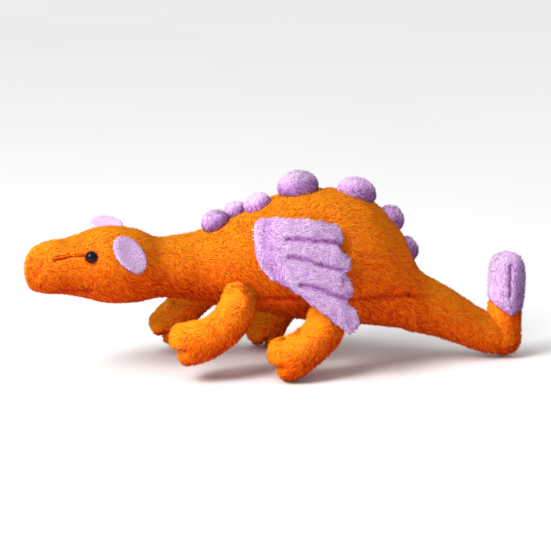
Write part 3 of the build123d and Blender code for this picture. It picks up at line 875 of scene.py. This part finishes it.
# --- The wings ---
# A wing is two layers of lavender plush with a little wadding, sewn round the edge and turned
# out. Three lines of stitches make it four fingers, and one more sets off a rolled front edge.
WING_HINGE = Vector((-32, -36.5, 135.5))
WING_AXIS, WING_OUT = Vector((0, 0.456, 0.890)), Vector((0, -0.890, 0.456))
WING_LIFT = [   # back from the hinge, then how far out the wing's top and its bottom stand there
    (-4, 0.8, 1.5), (12, 6.4, 6), (38, 12.8, 7.5), (60, 16, 8), (112, 16.2, 8.5),
]
WING_BEND, WING_BOTTOM, WING_MIDDLE = -14, -118, 4.5
WING_EDGE = [   # back from the hinge and up along it, round the outside
    (88, 12), (76, 16), (60, 19.5), (38, 21.5), (22, 22.6), (12, 22.6), (6.5, 20), (3.6, 14),
    (2.2, 3), (2, -10), (3, -22), (6.4, -35), (14.5, -47), (91, -105),
]
WING_FINGERS = [     # a finger's tip and the notch after it, from the lowest up
    ((107, -92), (99, -71)), ((104.5, -56), (100, -43.5)), ((103, -29), (94.5, -14.5)),
    ((96, -1), (88, 12)),
]
WING_CHANNELS = [
    [(38, -6), (60, -10), (94.5, -13.5)], [(38, -24), (60, -31), (100, -42.5)],
    [(48, -52), (70, -60), (98, -70)],
]
WING_ROLL = [(20, 21), (17.5, 0), (19, -25), (30, -50)]
WING_SEAM_ALLOWANCE, WING_HALF, WING_SWELL, WING_CAP = 2.6, 1.4, 4, 5.0
CLOTH_GRAIN, CLOTH_PRESSURE, CLOTH_QUALITY, CLOTH_STEPS = 0.0032, 4, 6, 20


def arc_through(start, middle, end, steps=9):
    """Points of the circle's arc from start, by middle, to end, without the first."""
    a, b, c = (complex(*p) for p in (start, middle, end))
    w = (c - a) / (b - a)
    centre = (b - a) * (w - abs(w) ** 2) / (w - w.conjugate()) + a
    r = abs(a - centre)
    t0, t1, t2 = (np.angle(p - centre) for p in (a, b, c))
    t1, t2 = t0 + (t1 - t0) % (2 * pi), t0 + (t2 - t0) % (2 * pi)
    if t1 > t2:
        t2 -= 2 * pi
    turns = np.linspace(t0, t2, steps + 1)[1:]
    return [(centre.real + r * cos(t), centre.imag + r * sin(t)) for t in turns]


edge, start = list(WING_EDGE), WING_EDGE[-1]
for end, notch in WING_FINGERS:
    edge += arc_through(start, end, notch)
    start = notch
edge = np.array(edge[:-1])
run = np.roll(edge, -1, 0) - np.roll(edge, 1, 0)
inwards = np.column_stack([-run[:, 1], run[:, 0]]) / np.linalg.norm(run, axis=1)[:, None]
edge += inwards * WING_SEAM_ALLOWANCE
slab = bpy.data.meshes.new("wing")
count = len(edge)
slab.from_pydata(
    [(s * MM, t * MM, n * MM) for n in (-WING_HALF, WING_HALF) for s, t in edge], [],
    [list(range(count - 1, -1, -1)), list(range(count, 2 * count))]
    + [(k, (k + 1) % count, count + (k + 1) % count, count + k) for k in range(count)],
)
wing_flat = made("wing_flat", slab)
bpy.context.view_layer.objects.active = wing_flat
even = wing_flat.modifiers.new("even", "REMESH")
even.mode, even.voxel_size = "VOXEL", CLOTH_GRAIN
wing_flat.data = applied(wing_flat)
before = points_of(wing_flat)
cloth = wing_flat.modifiers.new("cloth", "CLOTH")
cloth.settings.use_pressure = True
cloth.settings.uniform_pressure_force = CLOTH_PRESSURE
cloth.settings.effector_weights.gravity = 0
cloth.settings.quality = CLOTH_QUALITY
cloth.point_cache.frame_start, cloth.point_cache.frame_end = 1, CLOTH_STEPS
for step in range(1, CLOTH_STEPS + 1):
    bpy.context.scene.frame_set(step)
wing_flat.data = applied(wing_flat)
moved = points_of(wing_flat) - before
far = np.linalg.norm(moved, axis=1)[:, None]
after = before + moved * np.minimum(1, WING_CAP / np.maximum(far, 1e-6))
wing_flat.data.vertices.foreach_set("co", (after * MM).ravel())
bpy.context.scene.frame_set(1)
finer = wing_flat.modifiers.new("finer", "SUBSURF")
finer.levels = finer.render_levels = 1
smooth_mesh = applied(wing_flat)

# the quilting and the set of the wing on the flank, in millimetres
shape = read(smooth_mesh.vertices, "co") / MM
shape[:, 2] *= WING_SWELL / np.abs(shape[:, 2]).max()
plan = shape[:, :2]
nap_length_and_shade = np.ones(len(shape))
# along the channels and the roll's line the pile is shorter and its tufts take darker shades:
# painted shade in the grooves
for line, depth, width in [(c, 0.8, 3.0) for c in WING_CHANNELS] + [(WING_ROLL, 0.25, 5.5)]:
    near = np.exp(-(from_line(plan, line) / width) ** 2)
    shape[:, 2] *= 1 - depth * near
    nap_length_and_shade *= 1 - 0.5 * near
lift = np.array(WING_LIFT)
top, bottom = (np.interp(shape[:, 0], lift[:, 0], lift[:, k]) for k in (1, 2))
share = np.clip((WING_BEND - shape[:, 1]) / (WING_BEND - WING_BOTTOM), 0, 1)
out = shape[:, 2] + WING_MIDDLE + top + (bottom - top) * share
world = (np.array(WING_HINGE) + shape[:, :1] * np.array([1, 0, 0])
         + shape[:, 1:2] * np.array(WING_AXIS) + out[:, None] * np.array(WING_OUT))
bpy.data.objects.remove(wing_flat)
for side, mirror in (("left", 1), ("right", -1)):
    mesh = smooth_mesh.copy()
    place = world * np.array([1, mirror, 1]) * MM
    mesh.vertices.foreach_set("co", place.astype(np.float32).ravel())
    if mirror < 0:
        mesh.flip_normals()
    mesh.materials.clear()
    mesh.materials.append(lavender_backing)
    mesh.polygons.foreach_set("use_smooth", [True] * len(mesh.polygons))
    mesh.attributes.new("nap", "FLOAT", "POINT").data.foreach_set("value", nap_length_and_shade)
    mesh.update()
    wing = made(f"wing_backing_{side}", mesh)
    stuffed(wing, 0.5, f"wing_face_{side}", f"wing_lining_{side}", f"wing_batting_{side}",
            slot="plush_lavender")
    fluff = pile(f"wing_pile_{side}", wing, True, LAVENDER, (0.75, -0.25 * mirror, -0.45),
                 600 + len(side), "plush_lavender", Length=0.0044, Swirl=1.2,
                 **{"Patch size": 0.007})
    for piece in (wing, fluff):
        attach(piece, f"wing_{side}")
